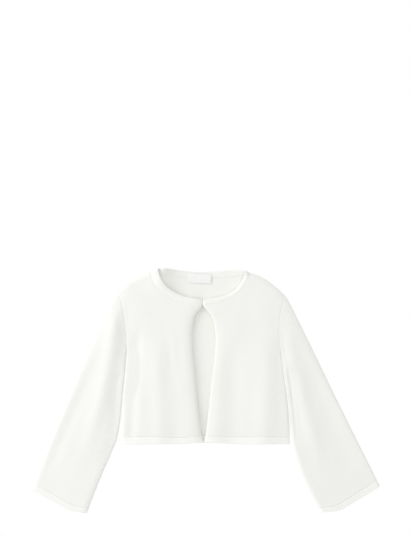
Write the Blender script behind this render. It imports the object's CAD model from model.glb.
"""Looks of the laid-out cropped cardigan: soft knitted panels, bands, seams, stitches and label.

The panels follow the same outlines as the solids, in millimetres, with +X across, +Y
towards the neck and +Z up from the floor. Right and left are the wearer's, so the right
side lies at -X. Each panel is a thin shell with finer folds than its solid.
"""

import math

import bpy
import numpy as np
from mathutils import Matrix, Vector


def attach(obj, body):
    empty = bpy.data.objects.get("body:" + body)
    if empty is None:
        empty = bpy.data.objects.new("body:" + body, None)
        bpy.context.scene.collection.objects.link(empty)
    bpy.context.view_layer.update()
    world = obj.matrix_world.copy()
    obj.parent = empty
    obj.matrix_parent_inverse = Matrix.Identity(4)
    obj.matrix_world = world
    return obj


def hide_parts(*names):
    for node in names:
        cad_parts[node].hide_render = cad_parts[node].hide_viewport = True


MM = 0.001
SIDES = ("right", "left")

# Cloth and seams
CLOTH = 1.5  # wall of the plain knit
BAND = 2.1  # wall of the doubled knit in the hem, cuffs and neckband
SEAM_LAP = 0.25  # how far a panel and its band reach over the line between them
SLEEVE_LAP = 0.5  # how far the sleeve's first course lies under the edge of the body
NECK_LAP = 0.75  # how far the neckband reaches over its seam
NECK_CLOSE = 0.45  # how far each end of the neckband is drawn towards the other
HEM_DEPTH, CUFF_DEPTH = 12.6, 10.0
BAND_PROUD = 0.25  # how far a band stands above the panel beside it
WALE, COURSE, STITCH_DEPTH = 1.7, 1.25, 0.09  # a plain stitch
KNIT_COLOUR = (0.896, 0.904, 0.865)
LABEL_COLOUR = (0.95, 0.955, 0.935)
METAL_COLOUR = (0.75, 0.75, 0.73)

# Sewn rows: pitch, length and thickness of a stitch, and height above the cloth
SEAM_SEWING = (2.6, 1.9, 0.45, -0.02)
NECK_SEWING = (2.6, 1.9, 0.5, 0.15)
LABEL_SEWING = (2.4, 1.7, 0.45, 0.1)
HEM_SEWN, CUFF_SEWN = slice(6, -3), slice(7, -7)  # grid columns clear of the rolled edges

# How high the garment lies
UNDER_EDGE = 4.9  # outer face of the under layer at the side and shoulder seams
TOP_EDGE = 5.3  # outer face of the top layer there
TOP_LIFT = 13.5  # top layer above the floor
LEAST_RISE = 3.0  # of the top layer above its own edge
FLOOR_GAP = 0.02  # the neckband lies no lower than this
SLEEVE_DROP, SLEEVE_DROP_X = 3.0, (170.0, 320.0)  # less towards the left cuff
HEM_DROP, HEM_DROP_WIDTH = 3.0, 45.0
HEM_CURLS = [(-128.0, 32.0, 2.6), (92.0, 20.0, 2.2)]  # x, half width, height
HEM_CURL_POWER = 1.5  # the curl grows faster towards the free edge
ARMHOLE_DROP, ARMHOLE_DROP_WIDTH = (2.2, 0.6), 13.0  # at its foot and at the shoulder
ARMHOLE_DROP_Y = (90.0, 160.0)
SIDE_DROP = {"right": (1.4, 9.0), "left": (1.4, 20.0)}  # depth and half width
OPENING_DROP = {"right": 3.2, "left": 1.6}
OPENING_DROP_WIDTH = {"right": 13.0, "left": 9.0}
OPENING_SINK = {"right": 0.0, "left": 2.4}  # how much lower the free edges lie
SINK_WIDTH, SINK_TOP = 22.0, (95.0, 150.0)
# Where the sleeve meets the side, the crevice is shallow: its foot, radius and height
UNDERARM_FILL = [(-153.0, 30.0, 62.0, 4.5), (148.0, 35.0, 58.0, 4.2)]

# Rolled edges of the top layer: their widths, and the round part nearest to the edge
ROLL_RADIUS = 3.0  # tightest bend
EDGE_ROUND, ROUND_SHARE = 2.2, 0.62  # its width, and its share of the rise
SIDE_ROLL, SHOULDER_ROLL = 6.0, 9.0
INNER_ROLL = {"right": 12.0, "left": 7.0}
OUTER_ROLL = {"right": (9.0, 26.0), "left": (5.0, 22.0)}  # low and high on the sleeve
OUTER_ROLL_Y = (-20.0, 80.0)
BACK_FOLD_EDGE = 22.0  # the back's swells fade out over this distance from the outline

# Turned opening edge, from the edge of the panel: outwards, and share of its depth
TURNED_EDGE = {
    "right": [(0.4, 0.1), (1.1, 0.3), (1.9, 0.6), (2.3, 0.88), (1.0, 1.0), (-5.0, 1.0)],
    "left": [(0.2, 0.15), (0.1, 0.45), (-0.6, 0.8), (-1.5, 0.97), (-4.0, 1.0), (-8.0, 1.0)],
}
TURNED_GAP, LEAST_TURN = 1.0, 2.0  # between its foot and the back, and its least depth

# Grooves and ridges along a line: height, distance from the line and half width
SEAM_RIDGES = [(0.15, 3.2, 1.6), (-0.35, 0.0, 1.5)]
OPENING_GROOVES = [(0.35, 8.5, 1.6), (0.5, 0.0, 1.2)]
HEM_GROOVES = [(0.15, 0.0, 1.4), (-0.15, -3.0, 1.8)]
CUFF_GROOVES = HEM_GROOVES[:1]

# Grids: spacing across and along each layer, and close rows in from an edge
FRONT_STEPS, BACK_STEPS = (3.4, 4.5), (5.0, 6.0)
SLEEVE_UPPER_STEP, SLEEVE_UNDER_STEP, SLEEVE_LONG_STEP = 3.4, 9.0, 6.0
CLOSE = (0.9, 2.0, 3.6, 6.0)
ROLL = (0.5, 1.6, 3.4, 6.0, 9.5, 14.0, 19.0)
BACK_RIM = (0.7, 1.8, 3.2, 5.0)
SLEEVE_RIM = (1.0, 2.6, 4.9)
FRONT_SEAM_ROWS, CUFF_SEAM_ROWS = (-4.0, -2.0, 2.0), (-2.2, 2.2)  # beside a band's seam
FRONT_HEIGHT, BACK_HEIGHT = 285.0, 320.0  # of the body panels, as their rows are spaced
SIDE_SHARE = 0.58  # of a body panel's height, from the hem to the armhole
FRONT_SHOULDER_SHARE, BACK_SHOULDER_SHARE = 0.4, 0.2  # of a body panel's width
# Rows ease off the corner where shoulder and neckline meet: how far across a panel this
# reaches, and the share of its height from which it fades
CORNER_REACH, CORNER_FADE = 0.12, 0.84

# Outlines, rows of (x, y) on a smooth line
SIDE = {
    "right": [(-160.6, -101.7), (-159.0, -50.0), (-155.0, 0.0), (-151.5, 40.0), (-150.0, 73.0)],
    "left": [(160.6, -101.7), (158.8, -50.0), (153.3, 0.0), (147.2, 40.0), (143.5, 70.0)],
}
ARMHOLE = {
    "right": [(-150.0, 73.0), (-150.5, 100.0), (-153.0, 130.0), (-158.0, 160.0), (-166.0, 188.0)],
    "left": [(143.5, 70.0), (140.5, 95.0), (140.0, 125.0), (143.5, 155.0), (151.0, 180.3)],
}
SHOULDER = {
    "right": [(-166.0, 188.0), (-147.0, 206.5), (-125.0, 218.5), (-113.0, 224.0), (-103.5, 227.5)],
    "left": [(151.0, 180.3), (137.8, 193.5), (115.0, 211.0), (98.0, 219.8), (83.5, 224.3)],
}
FRONT_HEM = {
    "right": [(-160.6, -101.7), (-100.0, -101.7), (-45.0, -101.2), (-20.0, -99.0), (-5.9, -97.9)],
    "left": [(160.6, -101.7), (100.0, -101.7), (45.0, -100.8), (20.0, -99.0), (-1.7, -97.9)],
}
BACK_HEM = [(-160.6, -101.7), (-60.0, -99.5), (60.0, -99.5), (160.6, -101.7)]
OPENING_EDGE = {
    "right": [
        (-5.9, -97.9), (-10.5, -77.0), (-17.3, -24.0), (-22.6, 31.0), (-27.4, 84.6),
        (-27.4, 113.0), (-21.3, 143.0), (-6.9, 160.8),
    ],
    "left": [
        (-1.7, -97.9), (4.6, -50.0), (9.9, 3.6), (16.7, 58.0), (19.4, 96.0),
        (16.7, 125.8), (9.9, 144.0), (-5.3, 161.3),
    ],
}
SLEEVE_OUTER = {
    "right": [(-176.0, 172.0), (-204.0, 114.0), (-265.0, -22.0), (-331.6, -187.0)],
    "left": [(161.0, 164.5), (202.4, 80.8), (257.5, -33.0), (331.6, -181.5)],
}
SLEEVE_INNER = {
    "right": [
        (-152.6, 40.0), (-156.4, 0.0), (-160.9, -50.0), (-166.5, -88.0), (-176.5, -114.0),
        (-200.0, -169.0), (-225.0, -232.8),
    ],
    "left": [
        (148.7, 40.0), (154.9, 0.0), (160.6, -50.0), (163.7, -95.0), (170.0, -122.0),
        (187.0, -170.0), (220.0, -231.5),
    ],
}
CUFF_EDGE = {
    "right": [(-225.0, -232.8), (-253.7, -227.5), (-277.0, -216.5), (-331.6, -187.0)],
    "left": [(220.0, -231.5), (252.5, -227.5), (275.0, -216.0), (331.6, -181.5)],
}

# Neckband: seam x, seam y, free edge x, free edge y, rise of the free edge
NECK_FRONT_RIGHT = [
    (-6.9, 160.8, -6.6, 172.4, 0.8),
    (-41.8, 166.3, -35.5, 177.3, -1.0),
    (-67.0, 176.8, -57.0, 185.8, -0.6),
    (-86.5, 190.5, -74.8, 198.3, 1.0),
    (-98.0, 206.0, -85.0, 211.8, 4.0),
    (-102.7, 219.0, -89.0, 224.6, 4.6),
]
NECK_POINT_RIGHT = (-103.5, 227.5, -90.0, 232.0, 11.6)
NECK_BACK = [
    (-95.0, 221.8, -84.0, 232.4, 9.6),
    (-78.0, 218.8, -70.0, 231.4, 4.2),
    (-45.0, 215.2, -41.0, 226.6, 2.4),
    (-5.0, 213.0, -5.0, 224.0, 0.0),
    (35.0, 215.2, 35.0, 226.4, 0.0),
    (59.0, 216.4, 61.0, 227.8, 0.4),
    (75.0, 219.4, 70.0, 229.0, 3.6),
]
NECK_POINT_LEFT = (83.5, 224.3, 76.0, 227.4, 7.5)
NECK_FRONT_LEFT = [
    (80.8, 214.5, 74.5, 217.0, 0.0),
    (75.5, 204.0, 68.8, 206.0, -1.0),
    (66.3, 190.5, 60.8, 195.2, -1.4),
    (54.0, 181.0, 49.8, 186.8, -1.5),
    (42.8, 175.0, 39.6, 181.6, -1.5),
    (28.3, 169.4, 26.3, 177.0, -1.2),
    (9.3, 164.4, 8.4, 173.6, -0.6),
    (-5.3, 161.3, -5.1, 172.3, 1.0),
]
NECK_CROWN = 0.7  # how far the middle of the strip rounds out
# Outer face of the strip: share of its width from the seam, and share of the crown
NECK_OUTER = [(0.0, 0.0), (0.1, 0.5), (0.3, 1.0), (0.5, 1.1), (0.7, 1.0), (0.88, 0.6), (1.0, 0.0)]
# Its free edge as it turns under: outwards, and share of the depth
NECK_TURN = [(0.5, 0.2), (1.1, 0.6), (1.2, 0.93), (-2.0, 1.0)]
NECK_TURN_TILT = (0.5, 0.9)  # it turns under where the strip faces up by this much
NECK_INNER_PLACE, NECK_INNER_DEPTH = 0.35, 0.5  # a point of its inner face between the edges
NECK_END_STEP = 0.1  # of a section: an added one, close to each end
# Lifts of the top layer round the neck: x, y, radius, height
NECK_LIFTS = [(-92.0, 205.0, 26.0, 2.6), (76.0, 208.0, 24.0, 1.2)]

# Soft folds of the top layer: points of the line, half width, height, fades at its ends
FOLDS = [
    # right sleeve
    ([(-170, 176), (-176, 96), (-199, -18), (-229, -113), (-252, -170)], 15, 4.8, 0.15, 0.6),
    ([(-205, 80), (-222, 30), (-240, -18), (-281, -113), (-306, -165)], 12, -1.8, 0.3, 0.2),
    (
        [(-158, 60), (-160, 20), (-165, -18), (-174, -94), (-188, -130), (-205, -165)],
        13, -3.2, 0.3, 0.3,
    ),
    # left sleeve
    ([(152, 150), (157, 96), (186, -18), (211, -113), (236, -200)], 13, 2.3, 0.2, 0.4),
    ([(154, 50), (160, 20), (165, -18), (169, -56), (174, -108)], 3.2, -1.6, 0.2, 0.3),
    ([(160, 50), (166, 20), (171, -18), (175, -56), (181, -108)], 11, -1.6, 0.2, 0.3),
    ([(194, 60), (220, -18), (257, -113), (285, -165)], 18, -1.5, 0.3, 0.3),
    # right front
    ([(-127, 140), (-129, 96), (-136, 20), (-139, -18), (-143, -100)], 11, -3.2, 0.25, 0.1),
    ([(-96, 128), (-91, 58), (-89, -20), (-84, -130)], 15, 2.3, 0.4, 0.15),
    ([(-66, 120), (-60, 20), (-50, -130)], 13, -0.9, 0.3, 0.2),
    ([(-62, 120), (-60, 80), (-56, 20)], 6, 0.7, 0.4, 0.4),
    # left front
    ([(46, 130), (52, 40), (50, -140)], 22, -2.9, 0.4, 0.2),
    ([(114, 140), (115, 50), (113, -40), (106, -140)], 20, 3.4, 0.4, 0.1),
    # shoulders
    ([(-140, 188), (-118, 150), (-112, 100)], 20, 0.4, 0.3, 0.3),
    ([(122, 196), (104, 150), (96, 110)], 18, 0.5, 0.3, 0.3),
]
# Swells of the back under the edges that lie on it
BACK_FOLDS = [
    (
        [(-14, -98), (-22, -50), (-28, 0), (-32, 46), (-36, 94), (-34, 125), (-28, 150)],
        16, 3.4, 0.1, 0.2,
    ),
    ([(-96, 216), (-84, 194), (-63, 179), (-38, 170), (-6, 166)], 18, 3.4, 0.3, 0.2),
    ([(-6, 166), (30, 170), (55, 181), (74, 202), (80, 214)], 14, 3, 0.2, 0.2),
    ([(-100, 190), (-92, 210), (-84, 235)], 25, 12, 0.5, 0.4),
]
# Faint waves of the knit everywhere: wavelength x, y, height, phase
RIPPLES = [
    (83.0, 197.0, 0.16, 0.4),
    (-59.0, 131.0, 0.10, 1.9),
    (47.0, -310.0, 0.07, 3.1),
    (-31.0, -67.0, 0.03, 5.0),
    (21.0, 113.0, 0.02, 2.2),
]

# Label: width and depth, centre and tilt in degrees
LABEL_SIZE, LABEL_CENTRE, LABEL_TILT = (45.0, 17.6), (-10.6, 212.5), -3.5
LABEL_WALL, LABEL_GAP, LABEL_CROWN = 0.7, 0.25, 0.9
LABEL_STEP = (-0.5, -0.1)  # shares of its depth over which it steps up onto the neckband
LABEL_GRID = (25, 13)

# Picture frame: pixels, millimetres a pixel, and the pixel at the origin
FRAME_PX, MM_PER_PX, ORIGIN_PX = (410, 536), 1.9, (205.5, 390.5)
# Studio, in metres and watts
CAMERA_HEIGHT = 6.0
SENSOR = 36.0  # millimetres
FLOOR_HALF, FLOOR_Z, FLOOR_GLOW = 8.0, -0.0006, 1.0
SKY_STRENGTH = 0.85
LAMP_PLACE, LAMP_SIZE, LAMP_WATTS = (-2.8, 0.9, 1.65), 1.9, 42.0


class Line:
    """A smooth line through a few points, read by its share of length."""

    def __init__(self, points, steps=8):
        knots = np.array(points, float)
        knots = np.vstack([2 * knots[0] - knots[1], knots, 2 * knots[-1] - knots[-2]])
        t = np.linspace(0, 1, steps, endpoint=False)[:, None]
        spans = [self.span(knots[i : i + 4], t) for i in range(len(knots) - 3)]
        self.points = np.vstack([*spans, knots[-2]])
        lengths = np.linalg.norm(np.diff(self.points, axis=0), axis=1)
        self.along = np.concatenate([[0], np.cumsum(lengths)])
        self.length = self.along[-1]

    @staticmethod
    def span(knots, t):
        a, b, c, d = knots
        return 0.5 * (
            2 * b + (c - a) * t + (2 * a - 5 * b + 4 * c - d) * t**2
            + (3 * b - a - 3 * c + d) * t**3
        )

    def at(self, share):
        wanted = np.asarray(share) * self.length
        return np.stack([np.interp(wanted, self.along, c) for c in self.points.T], axis=-1)

    def nearest(self, plan):
        """Distance of each plan point from the line, and the share of length nearest to it."""
        start, run = self.points[:-1], np.diff(self.points, axis=0)
        away = plan[..., None, :] - start
        t = np.clip((away * run).sum(-1) / (run * run).sum(-1), 0, 1)
        gap = np.linalg.norm(away - t[..., None] * run, axis=-1)
        best = gap.argmin(-1)[..., None]
        t = np.take_along_axis(t, best, -1)[..., 0]
        best = best[..., 0]
        share = (self.along[best] + t * (self.along[best + 1] - self.along[best])) / self.length
        return gap.min(-1), share

    def distance(self, plan):
        return self.nearest(plan)[0]


def chain(*parts):
    """A function of 0 to 1 that runs along several lines, each given with its share."""

    def at(value):
        value = np.asarray(value, float)
        out = np.zeros(value.shape + (2,))
        begin = 0.0
        for line, share in parts:
            inside = value >= begin - 1e-9
            out[inside] = line.at(np.clip((value[inside] - begin) / share, 0, 1))
            begin += share
        return out

    return at


def patch(bottom, top, left, right, us, vs):
    """Plan points of a four-sided panel between its edges, as a grid of us by vs."""
    u, v = us[:, None, None], vs[None, :, None]
    low, high = bottom(us)[:, None, :], top(us)[:, None, :]
    reach = np.minimum(CORNER_REACH, np.minimum(us, 1 - us))
    eased = np.mean([top(us + reach * s) for s in np.linspace(-1, 1, 13)], axis=0)
    high = eased[:, None, :] + (high - eased[:, None, :]) * between(v, CORNER_FADE, 1)
    first, last = left(vs)[None, :, :], right(vs)[None, :, :]
    ends = np.array([0.0, 1.0])
    (low0, low1), (high0, high1) = bottom(ends), top(ends)
    corners = (1 - v) * ((1 - u) * low0 + u * low1) + v * ((1 - u) * high0 + u * high1)
    return (1 - v) * low + v * high + (1 - u) * first + u * last - corners


def smoothstep(value):
    """A soft step from 0 to 1."""
    value = np.clip(value, 0, 1)
    return value * value * (3 - 2 * value)


def between(value, low, high):
    """A soft step from 0 at the low value to 1 at the high one."""
    return smoothstep((value - low) / (high - low))


def near_share(distance, width):
    """1 on a line, and 0 from the width on."""
    return 1 - np.clip(distance / width, 0, 1)


def shares(length, step, start=(), end=(), through=()):
    """Shares of a length: even steps between the close ones listed from each end, in mm."""
    start, end = np.array([0.0, *start]), length - np.array([0.0, *end])
    even = max(1, round((end[-1] - start[-1]) / step))
    found = np.union1d(np.union1d(start, end), np.linspace(start[-1], end[-1], even + 1))
    found = found[np.concatenate([[True], np.diff(found) > 1e-6])] / length
    for share in through:
        found[np.abs(found - share).argmin()] = share
    return found


SIDE_LINE = {s: Line(SIDE[s]) for s in SIDES}
ARMHOLE_LINE = {s: Line(ARMHOLE[s]) for s in SIDES}
ARMHOLE_VALLEY = {
    "right": ARMHOLE_LINE["right"],
    "left": Line([(147.5, 60), (146, 95), (143.5, 125), (145, 155), (151, 180.3)]),
}
SHOULDER_LINE = {s: Line(SHOULDER[s]) for s in SIDES}
OPENING_LINE = {s: Line(OPENING_EDGE[s]) for s in SIDES}
NECK_STEPS = 6
NECK_LINE = Line(
    [*NECK_FRONT_RIGHT, NECK_POINT_RIGHT, *NECK_BACK, NECK_POINT_LEFT, *NECK_FRONT_LEFT],
    NECK_STEPS,
)
TURN_RIGHT = len(NECK_FRONT_RIGHT) * NECK_STEPS
TURN_LEFT = (len(NECK_FRONT_RIGHT) + 1 + len(NECK_BACK)) * NECK_STEPS
NECKLINE = {
    "right": Line(NECK_LINE.points[TURN_RIGHT::-1, :2], 1),
    "back": Line(NECK_LINE.points[TURN_RIGHT : TURN_LEFT + 1, :2], 1),
    "left": Line(NECK_LINE.points[TURN_LEFT:, :2], 1),
}
OUTER_LINE = {s: Line([ARMHOLE_LINE[s].points[-1], *SLEEVE_OUTER[s]]) for s in SIDES}
INNER_LINE = {s: Line([ARMHOLE_LINE[s].points[0], *SLEEVE_INNER[s]]) for s in SIDES}
OUTLINES = [
    line[s] for line in (SIDE_LINE, SHOULDER_LINE, OUTER_LINE, INNER_LINE) for s in SIDES
]
FOLD_LINES = [(Line(points), *sizes) for points, *sizes in FOLDS]
BACK_FOLD_LINES = [(Line(points), *sizes) for points, *sizes in BACK_FOLDS]


def inside_outline(plan):
    """How far plan points lie in from the garment's outline."""
    return np.min([line.distance(plan) for line in OUTLINES], axis=0)


def rolled(distance, width):
    """Share of the rise: a short round edge, and a slope that eases off over the width."""
    round_edge = np.sqrt(1 - near_share(distance, np.minimum(EDGE_ROUND, width)) ** 2)
    slope = 1 - near_share(distance, width) ** 2
    return ROUND_SHARE * round_edge + (1 - ROUND_SHARE) * slope


def edge_roll(plan, rise):
    """Share of the full rise, from 0 on the outline to 1 where the rolled edge ends."""
    up = between(plan[..., 1], *OUTER_ROLL_Y)
    share = np.ones(plan.shape[:-1])
    for side in SIDES:
        narrow, wide = OUTER_ROLL[side]
        for line, width in (
            (SIDE_LINE[side], SIDE_ROLL),
            (SHOULDER_LINE[side], SHOULDER_ROLL),
            (INNER_LINE[side], INNER_ROLL[side]),
            (OUTER_LINE[side], narrow + (wide - narrow) * up),
        ):
            width = np.minimum(rise**2 / ROLL_RADIUS, width)
            share = np.minimum(share, rolled(line.distance(plan), width))
    return share


def folds(plan, lines):
    """Height of soft folds along their lines, fading out at both ends."""
    total = np.zeros(plan.shape[:-1])
    for line, half, height, fade_in, fade_out in lines:
        gap, share = line.nearest(plan)
        fade = smoothstep(share / fade_in) * smoothstep((1 - share) / fade_out)
        total += height * np.exp(-((gap / half) ** 2)) * fade
    return total


def ripples(plan):
    total = np.zeros(plan.shape[:-1])
    for wave_x, wave_y, height, phase in RIPPLES:
        turn = plan[..., 0] / wave_x + plan[..., 1] / wave_y
        total += height * np.sin(2 * math.pi * turn + phase)
    return total


def ridges(gap, rows):
    """Height across a line, at a distance from it."""
    return sum(height * np.exp(-(((gap - at) / half) ** 2)) for height, at, half in rows)


def seam_ridges(plan):
    """Linked seams: a narrow groove with a faint ridge on each side."""
    lines = [*ARMHOLE_LINE.values(), NECKLINE["right"], NECKLINE["left"]]
    gap = np.min([line.distance(plan) for line in lines], axis=0)
    return ridges(gap, SEAM_RIDGES)


def lift(plan):
    """Height of the top layer where no edge is near, with its folds and seams."""
    x, y = plan[..., 0], plan[..., 1]
    height = TOP_LIFT - SLEEVE_DROP * between(x, *SLEEVE_DROP_X)
    for cx, cy, radius, rise in NECK_LIFTS:
        height = height + rise * np.exp(-((x - cx) ** 2 + (y - cy) ** 2) / radius**2)
    for side in SIDES:
        near = ARMHOLE_VALLEY[side].distance(plan) / ARMHOLE_DROP_WIDTH
        low, high = ARMHOLE_DROP
        depth = low + (high - low) * between(y, *ARMHOLE_DROP_Y)
        height = height - depth * np.exp(-(near**2))
    return height + folds(plan, FOLD_LINES) + ripples(plan) + seam_ridges(plan)


def sink(plan):
    """How much lower an opening edge lies, below the closure."""
    below_closure = 1 - between(plan[..., 1], *SINK_TOP)
    depth = [
        OPENING_SINK[side] * near_share(OPENING_LINE[side].distance(plan), SINK_WIDTH) ** 2
        for side in SIDES
    ]
    return np.max(depth, axis=0) * below_closure


def turned(grid, side):
    """The grid with its last row carried on round the edge and back underneath."""
    away = grid[-1] - grid[-2]
    away[:, 2] = 0
    away /= np.linalg.norm(away, axis=1)[:, None]
    foot = back_top((grid[-1] + away)[:, :2]) + TURNED_GAP
    down = np.maximum(grid[-1, :, 2] - foot, LEAST_TURN)[:, None] * [0.0, 0.0, 1.0]
    rows = [grid[-1] + away * out - down * share for out, share in TURNED_EDGE[side]]
    return np.concatenate([grid, rows])


def top_surface(plan, drop=0.0):
    """Points of the top layer's outer face over plan points."""
    edge = TOP_EDGE
    for cx, cy, radius, fill in UNDERARM_FILL:
        away = (plan[..., 0] - cx) ** 2 + (plan[..., 1] - cy) ** 2
        edge = edge + fill * np.exp(-away / radius**2)
    rise = np.maximum(lift(plan) - drop - edge, LEAST_RISE)
    height = edge + rise * edge_roll(plan, rise) - sink(plan)
    return np.concatenate([plan, height[..., None]], axis=-1)


def under_surface(plan):
    """Points of the under layer's outer face: on the floor, curled up at the outline."""
    inside = inside_outline(plan)
    outwards = near_share(inside, UNDER_EDGE)
    height = UNDER_EDGE * (1 - np.sqrt(1 - outwards**2))
    height = height + folds(plan, BACK_FOLD_LINES) * smoothstep(inside / BACK_FOLD_EDGE)
    return np.concatenate([plan, height[..., None]], axis=-1)


def back_top(plan):
    """Height of the inside of the back, which shows in the neck and the opening."""
    return under_surface(plan)[..., 2] + CLOTH


def body_drop(plan, side):
    """How far a front lies below the lift, near its hem, side and opening."""
    above_hem = plan[..., 1] - FRONT_HEM["right"][0][1]
    drop = HEM_DROP * (1 - smoothstep(above_hem / HEM_DROP_WIDTH))
    near = OPENING_LINE[side].distance(plan)
    drop = drop + OPENING_DROP[side] * near_share(near, OPENING_DROP_WIDTH[side]) ** 2
    depth, width = SIDE_DROP[side]
    drop = drop + depth * np.exp(-((SIDE_LINE[side].distance(plan) / width) ** 2))
    # The turned edge stands a little proud of a shallow groove beside it.
    return drop + ridges(near, OPENING_GROOVES)


# Materials ---------------------------------------------------------------------------


class Nodes:
    """A short way to write a material's node tree."""

    def __init__(self, material):
        self.tree = material.node_tree

    def add(self, kind, inputs=(), **settings):
        node = self.tree.nodes.new(kind)
        for name, value in settings.items():
            setattr(node, name, value)
        for key, value in dict(inputs).items():
            if isinstance(value, bpy.types.NodeSocket):
                self.tree.links.new(value, node.inputs[key])
            else:
                node.inputs[key].default_value = value
        return node

    def math(self, operation, a, b=0.0, c=0.0):
        node = self.add("ShaderNodeMath", {0: a, 1: b, 2: c}, operation=operation)
        return node.outputs[0]


def new_material(name, colour, roughness):
    """A material of one colour, its shader and its nodes."""
    material = bpy.data.materials.new(name)
    material.use_nodes = True
    shader = material.node_tree.nodes["Principled BSDF"]
    shader.inputs["Base Color"].default_value = (*colour, 1)
    shader.inputs["Roughness"].default_value = roughness
    return material, shader, Nodes(material)


def knit_material(name, colour, wale, course, depth, rib):
    """Plain knit: columns of V-shaped stitches in the surface's own coordinates."""
    material, shader, n = new_material(name, colour, roughness=0.92)
    shader.inputs["Sheen Weight"].default_value = 0.25
    shader.inputs["Sheen Roughness"].default_value = 0.5
    shader.inputs["Specular IOR Level"].default_value = 0.15
    place = n.add("ShaderNodeUVMap", uv_map="stitches").outputs[0]
    wander = n.add("ShaderNodeTexNoise", {"Vector": place, "Scale": 90.0, "Detail": 2.0})
    split = n.add("ShaderNodeSeparateXYZ", {0: place})
    shift = n.math("MULTIPLY", n.math("SUBTRACT", wander.outputs["Fac"], 0.5), 0.5)
    across = n.math("ADD", n.math("MULTIPLY", split.outputs[0], 1000 / wale), shift)
    up = n.math("ADD", n.math("MULTIPLY", split.outputs[1], 1000 / course), shift)
    column = n.math("FRACT", across)
    side = n.math("MULTIPLY", n.math("ABSOLUTE", n.math("SUBTRACT", column, 0.5)), 2.0)
    leg = n.math("FRACT", n.math("MULTIPLY_ADD", side, 0.6, up))
    length = n.math("SINE", n.math("MULTIPLY", leg, math.pi))
    width = n.math("SINE", n.math("MULTIPLY", side, math.pi))
    stitch = n.math("MULTIPLY", length, width)
    if rib:
        wave = n.math("SINE", n.math("MULTIPLY", across, math.pi))
        stitch = n.math("MULTIPLY_ADD", n.math("ABSOLUTE", wave), 0.5, stitch)
    fuzz = n.add("ShaderNodeTexNoise", {"Vector": place, "Scale": 2600.0, "Detail": 3.0})
    height = n.math("MULTIPLY_ADD", fuzz.outputs["Fac"], 0.35, stitch)
    bump = n.add("ShaderNodeBump", {"Height": height, "Distance": depth * MM, "Strength": 1.0})
    n.tree.links.new(bump.outputs[0], shader.inputs["Normal"])
    cloudy = n.add("ShaderNodeTexNoise", {"Vector": place, "Scale": 14.0, "Detail": 3.0})
    shade = n.math("MULTIPLY_ADD", stitch, 0.2, n.math("MULTIPLY", cloudy.outputs["Fac"], 0.1))
    mix = n.add("ShaderNodeMix", data_type="RGBA")
    n.tree.links.new(shade, mix.inputs["Factor"])
    sockets = [s for s in mix.inputs if s.type == "RGBA"]
    sockets[0].default_value = (*[c * 0.98 for c in colour], 1)
    sockets[1].default_value = (*[min(0.98, c * 1.08) for c in colour], 1)
    out = next(s for s in mix.outputs if s.type == "RGBA")
    n.tree.links.new(out, shader.inputs["Base Color"])
    return material


def woven_material(name, colour):
    """Fine satin tape: thin lines along the weave."""
    material, shader, n = new_material(name, colour, roughness=0.5)
    place = n.add("ShaderNodeUVMap", uv_map="stitches").outputs[0]
    split = n.add("ShaderNodeSeparateXYZ", {0: place})
    warp = n.math("SINE", n.math("MULTIPLY", split.outputs[0], 2 * math.pi / 0.0006))
    weft = n.math("SINE", n.math("MULTIPLY", split.outputs[1], 2 * math.pi / 0.0004))
    height = n.math("MULTIPLY_ADD", warp, 0.6, weft)
    bump = n.add("ShaderNodeBump", {"Height": height, "Distance": 0.00004, "Strength": 1.0})
    n.tree.links.new(bump.outputs[0], shader.inputs["Normal"])
    shader.inputs["Sheen Weight"].default_value = 0.2
    return material


def metal_material(name, colour):
    """Bare wire with a faintly uneven polish."""
    material, shader, n = new_material(name, colour, roughness=0.3)
    shader.inputs["Metallic"].default_value = 1.0
    place = n.add("ShaderNodeTexCoord").outputs["Object"]
    noise = n.add("ShaderNodeTexNoise", {"Vector": place, "Scale": 900.0, "Detail": 2.0})
    bump = n.add("ShaderNodeBump", {"Height": noise.outputs["Fac"], "Distance": 0.00002})
    n.tree.links.new(bump.outputs[0], shader.inputs["Normal"])
    return material


def yarn(name, lightness, stitch=(WALE, COURSE, STITCH_DEPTH), rib=False):
    """The garment's yarn, knitted looser or tighter, which makes it darker or lighter."""
    return knit_material(name, [c * lightness for c in KNIT_COLOUR], *stitch, rib)


KNIT = yarn("plain_knit", 1.0)
BAND_KNIT = yarn("band_knit", 1.035, rib=True)
NECK_KNIT = yarn("neck_knit", 1.01, rib=True)
THREAD = yarn("sewing_thread", 1.03, stitch=(0.5, 0.4, 0.05))
LABEL = woven_material("label_satin", LABEL_COLOUR)
METAL = metal_material("closure_metal", METAL_COLOUR)


# Pieces ------------------------------------------------------------------------------


def new_piece(name, points, faces, uv, material):
    """A smooth piece of the garment, from points in millimetres."""
    mesh = bpy.data.meshes.new(name)
    mesh.from_pydata((points * MM).tolist(), [], faces)
    layer = mesh.uv_layers.new(name="stitches")
    layer.data.foreach_set("uv", (uv * MM).astype(np.float32).ravel())
    mesh.shade_smooth()
    mesh.materials.append(material)
    piece = bpy.data.objects.new(name, mesh)
    bpy.context.scene.collection.objects.link(piece)
    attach(piece, "root")
    return piece


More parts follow.
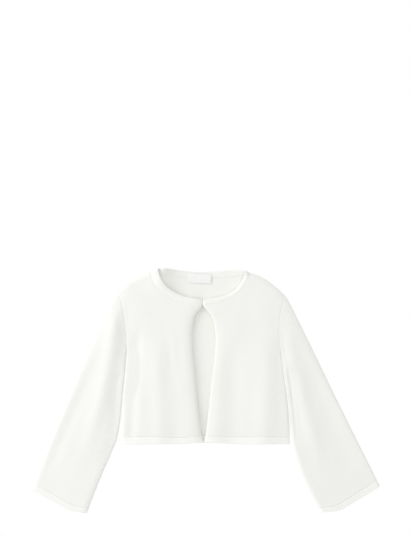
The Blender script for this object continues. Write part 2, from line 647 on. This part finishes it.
def cloth(name, grid, wall, material, nodes, flip=False, ring=False, straight=False):
    """A shell from a grid on its outer face, or with no wall a closed body from its rings.
    Its uv map runs along the grid, or straight up the panel, as the stitches do."""
    if ring:
        grid = np.concatenate([grid, grid[:1]])
    rows, columns = grid.shape[:2]
    step_u = np.linalg.norm(np.diff(grid, axis=0), axis=-1).mean(axis=1)
    step_v = np.linalg.norm(np.diff(grid, axis=1), axis=-1).mean(axis=0)
    u = np.concatenate([[0], np.cumsum(step_u)])
    v = np.concatenate([[0], np.cumsum(step_v)])
    count = rows - 1 if ring else rows
    i, j = np.meshgrid(np.arange(rows - 1), np.arange(columns - 1), indexing="ij")
    i, j = i.ravel(), j.ravel()
    corners = [(i, j), (i + 1, j), (i + 1, j + 1), (i, j + 1)]
    if flip:
        corners = corners[::-1]
    faces = np.stack([(a % count) * columns + b for a, b in corners], axis=-1)
    if straight:
        uv = np.stack([grid[a, b, :2] for a, b in corners], axis=1).reshape(-1, 2)
    else:
        uv = np.stack([np.stack([u[a], v[b]], -1) for a, b in corners], axis=1).reshape(-1, 2)
    faces = faces.tolist()
    if not wall:
        uv = uv[:, ::-1]
        for end in (0, columns - 1):
            cap = np.arange(count) * columns + end
            faces.append((cap if (end == 0) == flip else cap[::-1]).tolist())
            uv = np.concatenate([uv, grid[:count, end, 1:]])
    piece = new_piece(name, grid[:count].reshape(-1, 3), faces, uv, material)
    if wall:
        solid = piece.modifiers.new("wall", "SOLIDIFY")
        solid.thickness, solid.offset = wall * MM, -1
    soft = piece.modifiers.new("soft", "SUBSURF")
    soft.levels = soft.render_levels = 1
    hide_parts(*nodes)
    return piece


def split(vs, seam, lap):
    """Rows of a grid on each side of a seam, each a little way past it."""
    low = [*vs[vs < seam - lap * 2], seam + lap]
    high = [seam - lap, *vs[vs > seam + lap * 2]]
    return np.array(low), np.array(high)


def make_front(side):
    hem = Line(FRONT_HEM[side])
    edges = (
        chain((hem, 1)),
        chain(
            (SHOULDER_LINE[side], FRONT_SHOULDER_SHARE),
            (NECKLINE[side], 1 - FRONT_SHOULDER_SHARE),
        ),
        chain((SIDE_LINE[side], SIDE_SHARE), (ARMHOLE_LINE[side], 1 - SIDE_SHARE)),
        chain((OPENING_LINE[side], 1)),
    )
    across, along = FRONT_STEPS
    us = shares(hem.length, across, ROLL, CLOSE, (FRONT_SHOULDER_SHARE,))
    vs = shares(FRONT_HEIGHT, along, CLOSE, ROLL, (SIDE_SHARE,))
    seam = HEM_DEPTH / FRONT_HEIGHT
    vs = np.union1d(vs, [seam + beside / FRONT_HEIGHT for beside in FRONT_SEAM_ROWS])
    hem_vs, panel_vs = split(vs, seam, SEAM_LAP / FRONT_HEIGHT)
    flip = side == "left"

    def front_drop(plan):
        """The front's drop, with the linked line where the hem band meets its panel."""
        gap = hem.distance(plan) - HEM_DEPTH
        return body_drop(plan, side) + ridges(gap, HEM_GROOVES)

    plan = patch(*edges, us, panel_vs)
    grid = turned(top_surface(plan, front_drop(plan)), side)
    node = f"front_{side}"
    panel = cloth(node + "_knit", grid, CLOTH, KNIT, [node], flip, straight=True)
    plan = patch(*edges, us, hem_vs)
    band_drop = front_drop(plan) - BAND_PROUD - hem_curl(plan, hem)
    grid = turned(top_surface(plan, band_drop), side)
    node = f"hem_front_{side}"
    band = cloth(node + "_knit", grid, BAND, BAND_KNIT, [node], flip)
    seam_plan = seam_row(edges, us, seam)
    row = top_surface(seam_plan, front_drop(seam_plan))
    stitches(f"stitches_hem_{side}", row[HEM_SEWN], *SEAM_SEWING)


def seam_row(edges, us, seam):
    """Plan points of one row of a panel, as on a seam between it and its band."""
    return patch(*edges, us, np.array([seam, seam + 1e-4]))[:, 0]


def hem_curl(plan, hem):
    """How far the free edge of a front hem band turns up: most at two places along it."""
    share = near_share(hem.distance(plan), HEM_DEPTH)
    height = sum(h * np.exp(-(((plan[..., 0] - x) / half) ** 2)) for x, half, h in HEM_CURLS)
    return share**HEM_CURL_POWER * height


def make_back():
    hem = Line(BACK_HEM)
    shoulder = BACK_SHOULDER_SHARE
    sides = [
        chain((SIDE_LINE[side], SIDE_SHARE), (ARMHOLE_LINE[side], 1 - SIDE_SHARE))
        for side in SIDES
    ]
    edges = (
        chain((hem, 1)),
        chain(
            (SHOULDER_LINE["right"], shoulder),
            (NECKLINE["back"], 1 - 2 * shoulder),
            (Line(SHOULDER["left"][::-1]), shoulder),
        ),
        *sides,
    )
    across, along = BACK_STEPS
    us = shares(hem.length, across, BACK_RIM, BACK_RIM, (shoulder, 1 - shoulder))
    vs = shares(BACK_HEIGHT, along, CLOSE, BACK_RIM, (SIDE_SHARE,))
    hem_vs, panel_vs = split(vs, HEM_DEPTH / BACK_HEIGHT, SEAM_LAP / BACK_HEIGHT)
    grid = under_surface(patch(*edges, us, panel_vs))
    panel = cloth("back_knit", grid, CLOTH, KNIT, ["back"], True, straight=True)
    grid = under_surface(patch(*edges, us, hem_vs))
    band = cloth("hem_back_knit", grid, BAND, BAND_KNIT, ["hem_back"], True)


def make_sleeve(side):
    cuff = Line(CUFF_EDGE[side])
    edges = (
        chain((ARMHOLE_LINE[side], 1)),
        chain((cuff, 1)),
        chain((INNER_LINE[side], 1)),
        chain((OUTER_LINE[side], 1)),
    )
    width, length = cuff.length, INNER_LINE[side].length
    over = shares(width, SLEEVE_UPPER_STEP, ROLL, ROLL)
    under = shares(width, SLEEVE_UNDER_STEP, SLEEVE_RIM, SLEEVE_RIM)[::-1][1:-1]
    vs = shares(length, SLEEVE_LONG_STEP, CLOSE, CLOSE)
    seam = 1 - CUFF_DEPTH / length
    vs = np.union1d(vs, [seam + beside / length for beside in CUFF_SEAM_ROWS])
    sleeve_vs, cuff_vs = split(vs, seam, SEAM_LAP / length)
    flip = side == "left"

    def cuff_groove(plan):
        return ridges(cuff.distance(plan) - CUFF_DEPTH, CUFF_GROOVES)

    def tube(rows, proud):
        plan = patch(*edges, over, rows)
        upper = top_surface(plan, cuff_groove(plan) - proud)
        return np.concatenate([upper, under_surface(patch(*edges, under, rows))])

    grid = tube(sleeve_vs, 0.0)
    # The first course lies just under the edge of the body.
    into_body = grid[:, 0] - grid[:, 1]
    grid[:, 0] += SLEEVE_LAP * into_body / np.linalg.norm(into_body, axis=1)[:, None]
    nodes = [f"sleeve_{side}_upper", f"sleeve_{side}_under"]
    sleeve = cloth(f"sleeve_{side}_knit", grid, CLOTH, KNIT, nodes, flip, ring=True)
    grid = tube(cuff_vs, BAND_PROUD)
    node = f"cuff_{side}"
    band = cloth(node + "_knit", grid, BAND, BAND_KNIT, [node], flip, ring=True)
    seam_plan = seam_row(edges, over, seam)
    row = top_surface(seam_plan, cuff_groove(seam_plan))
    stitches(f"stitches_cuff_{side}", row[CUFF_SEWN], *SEAM_SEWING)


def neck_sections():
    """Points of the neckband's seam and of its free edge, one pair for each section."""
    places = np.arange(len(NECK_LINE.points))
    on_back = (places >= TURN_RIGHT) & (places <= TURN_LEFT)
    plan = NECK_LINE.points[:, :2]
    drops = np.where(places < TURN_RIGHT, body_drop(plan, "right"), body_drop(plan, "left"))
    height = np.where(on_back, under_surface(plan)[:, 2], top_surface(plan, drops)[:, 2])
    seam = np.column_stack([plan, height])
    free = np.column_stack([NECK_LINE.points[:, 2:4], height + NECK_LINE.points[:, 4]])
    return seam, free


def make_neckband():
    seam, free = neck_sections()
    # The two ends meet over the closure, with a close round edge.
    for row in (seam, free):
        row[0, 0] += NECK_CLOSE
        row[-1, 0] -= NECK_CLOSE
    last = len(seam) - 1
    sections = [0, NECK_END_STEP, *range(1, last), last - NECK_END_STEP, last]
    seam, free = (
        np.column_stack([np.interp(sections, np.arange(last + 1), row[:, k]) for k in range(3)])
        for row in (seam, free)
    )
    width = free - seam
    width /= np.linalg.norm(width, axis=1)[:, None]
    seam = seam - width * NECK_LAP
    along = np.gradient((seam + free) / 2, axis=0)
    outward = np.cross(width, along)
    outward /= np.linalg.norm(outward, axis=1)[:, None]
    outer = np.stack([seam + (free - seam) * s + outward * NECK_CROWN * c for s, c in NECK_OUTER])
    # At the front the free edge is turned under, and reaches down towards the back.
    turned_under = np.maximum(free[:, 2] - back_top(free[:, :2]) - TURNED_GAP - BAND, 0)
    on_front = between(outward[:, 2], *NECK_TURN_TILT)[:, None]
    depth = BAND + turned_under[:, None] * on_front
    down = -outward * (1 - on_front) - [0.0, 0.0, 1.0] * on_front
    inner = [free + width * out + down * depth * share for out, share in NECK_TURN]
    inner_depth = BAND + (depth - BAND) * NECK_INNER_DEPTH
    inner.append(seam + (free - seam) * NECK_INNER_PLACE + down * inner_depth)
    inner.append(seam + down * BAND)
    grid = np.concatenate([outer, inner])
    grid[..., 2] = np.maximum(grid[..., 2], FLOOR_GAP)
    band = cloth("neckband_knit", grid, 0, NECK_KNIT, ["neckband"], ring=True)
    # The sewing runs along the two front stretches of the seam.
    fronts = (seam[1:TURN_RIGHT], seam[TURN_LEFT + 3 : -1])
    for side, row in zip(SIDES, fronts):
        stitches(f"stitches_neck_{side}", row, *NECK_SEWING)


def stitches(name, row, pitch, length, thick, above):
    """A row of small rounded thread loops along a line on the surface."""
    line = Line(row + [0, 0, above], 1)
    count = int(line.length / pitch)
    places = (np.arange(count) + 0.5) * pitch / line.length
    half = length / 2 / line.length
    centre, ahead, behind = line.at(places), line.at(places + half), line.at(places - half)
    along = ahead - behind
    along /= np.linalg.norm(along, axis=1)[:, None]
    side = np.cross([0, 0, 1.0], along)
    side /= np.linalg.norm(side, axis=1)[:, None]
    up = np.cross(along, side)
    # Place along the stitch, and share of its thickness
    sections = [(-0.5, 0.25), (-0.36, 0.8), (0.0, 1.0), (0.36, 0.8), (0.5, 0.25)]
    around = 6
    turn = np.arange(around) * 2 * math.pi / around
    rings = []
    for place, size in sections:
        middle = centre + along * place * length
        offset = np.cos(turn)[:, None, None] * side + 0.8 * np.sin(turn)[:, None, None] * up
        rings.append(middle + offset * thick / 2 * size)
    points = np.array(rings).transpose(2, 0, 1, 3).reshape(-1, 3)
    faces = []
    for first in range(0, len(points), around * len(sections)):
        last = first + around * (len(sections) - 1)
        for ring in range(first, last, around):
            for t in range(around):
                a, b = ring + t, ring + (t + 1) % around
                faces.append((a, b, b + around, a + around))
        faces.append(tuple(range(first + around - 1, first - 1, -1)))
        faces.append(tuple(range(last, last + around)))
    uv = np.concatenate([points[list(face), :2] for face in faces])
    new_piece(name, points, faces, uv, THREAD)


def make_label():
    width, depth = LABEL_SIZE
    us, vs = (np.linspace(-0.5, 0.5, count) for count in LABEL_GRID)
    x, y = np.meshgrid(us * width, vs * depth, indexing="ij")
    tilt = math.radians(LABEL_TILT)
    plan_x = LABEL_CENTRE[0] + x * math.cos(tilt) - y * math.sin(tilt)
    plan_y = LABEL_CENTRE[1] + x * math.sin(tilt) + y * math.cos(tilt)
    above_band = between(y / depth, *LABEL_STEP)
    height = CLOTH + (BAND - CLOTH) * above_band + LABEL_GAP + LABEL_WALL
    height = height + LABEL_CROWN * np.clip(1 - (2 * x / width) ** 2, 0, 1) ** 0.5
    grid = np.stack([plan_x, plan_y, height], axis=-1)
    piece = cloth("label_satin_tape", grid, LABEL_WALL, LABEL, ["label"])
    for index, end in enumerate((1, -2)):
        stitches(f"stitches_label_{index}", grid[end, 1:-1], *LABEL_SEWING)


def make_floor():
    mesh = bpy.data.meshes.new("floor")
    half = FLOOR_HALF
    corners = [(-half, -half, 0), (half, -half, 0), (half, half, 0), (-half, half, 0)]
    mesh.from_pydata(corners, [], [(0, 1, 2, 3)])
    material = bpy.data.materials.new("white_floor")
    material.use_nodes = True
    tree = material.node_tree
    tree.nodes.clear()
    glow = tree.nodes.new("ShaderNodeEmission")
    glow.inputs["Color"].default_value = (1, 1, 1, 1)
    glow.inputs["Strength"].default_value = FLOOR_GLOW
    out = tree.nodes.new("ShaderNodeOutputMaterial")
    tree.links.new(glow.outputs[0], out.inputs["Surface"])
    mesh.materials.append(material)
    floor = bpy.data.objects.new("floor", mesh)
    floor.location.z = FLOOR_Z
    bpy.context.scene.collection.objects.link(floor)


def make_lights():
    """A pale sky all round, and one large soft lamp from the wearer's right."""
    world = bpy.data.worlds.new("studio")
    world.use_nodes = True
    background = world.node_tree.nodes["Background"]
    background.inputs["Color"].default_value = (1, 1, 1, 1)
    background.inputs["Strength"].default_value = SKY_STRENGTH
    bpy.context.scene.world = world
    data = bpy.data.lights.new("key", "AREA")
    data.shape, data.size, data.energy = "DISK", LAMP_SIZE, LAMP_WATTS
    lamp = bpy.data.objects.new("key", data)
    lamp.location = LAMP_PLACE
    lamp.rotation_mode = "QUATERNION"
    lamp.rotation_quaternion = Vector(LAMP_PLACE).to_track_quat("Z", "Y")
    lamp.visible_camera = False
    bpy.context.scene.collection.objects.link(lamp)


def make_camera():
    """Straight above, so that a pixel covers the same length all over the garment."""
    camera = bpy.data.cameras.new("camera")
    camera.sensor_fit = "AUTO"
    camera.sensor_width = SENSOR
    camera.lens = SENSOR * CAMERA_HEIGHT / (FRAME_PX[1] * MM_PER_PX * MM)
    camera.clip_end = 100
    eye = bpy.data.objects.new("camera", camera)
    eye.location = (
        (FRAME_PX[0] / 2 - ORIGIN_PX[0]) * MM_PER_PX * MM,
        (ORIGIN_PX[1] - FRAME_PX[1] / 2) * MM_PER_PX * MM,
        CAMERA_HEIGHT,
    )
    scene = bpy.context.scene
    scene.collection.objects.link(eye)
    scene.camera = eye
    scene.view_settings.view_transform = "Standard"
    scene.view_settings.look = "None"
    scene.view_settings.exposure = 0
    scene.view_settings.gamma = 1


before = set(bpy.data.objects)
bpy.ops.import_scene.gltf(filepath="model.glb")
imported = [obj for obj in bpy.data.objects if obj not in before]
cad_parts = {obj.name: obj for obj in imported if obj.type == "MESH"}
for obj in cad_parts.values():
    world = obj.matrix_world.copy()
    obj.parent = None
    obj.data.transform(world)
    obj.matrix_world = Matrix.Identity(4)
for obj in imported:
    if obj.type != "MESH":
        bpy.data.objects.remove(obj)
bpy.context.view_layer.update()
for closure in ("hook", "eye"):
    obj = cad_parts[closure]
    obj.data.materials.clear()
    obj.data.materials.append(METAL)
make_floor()
make_lights()
make_camera()
make_back()
for side in SIDES:
    make_front(side)
    make_sleeve(side)
make_neckband()
make_label()

bpy.context.view_layer.update()
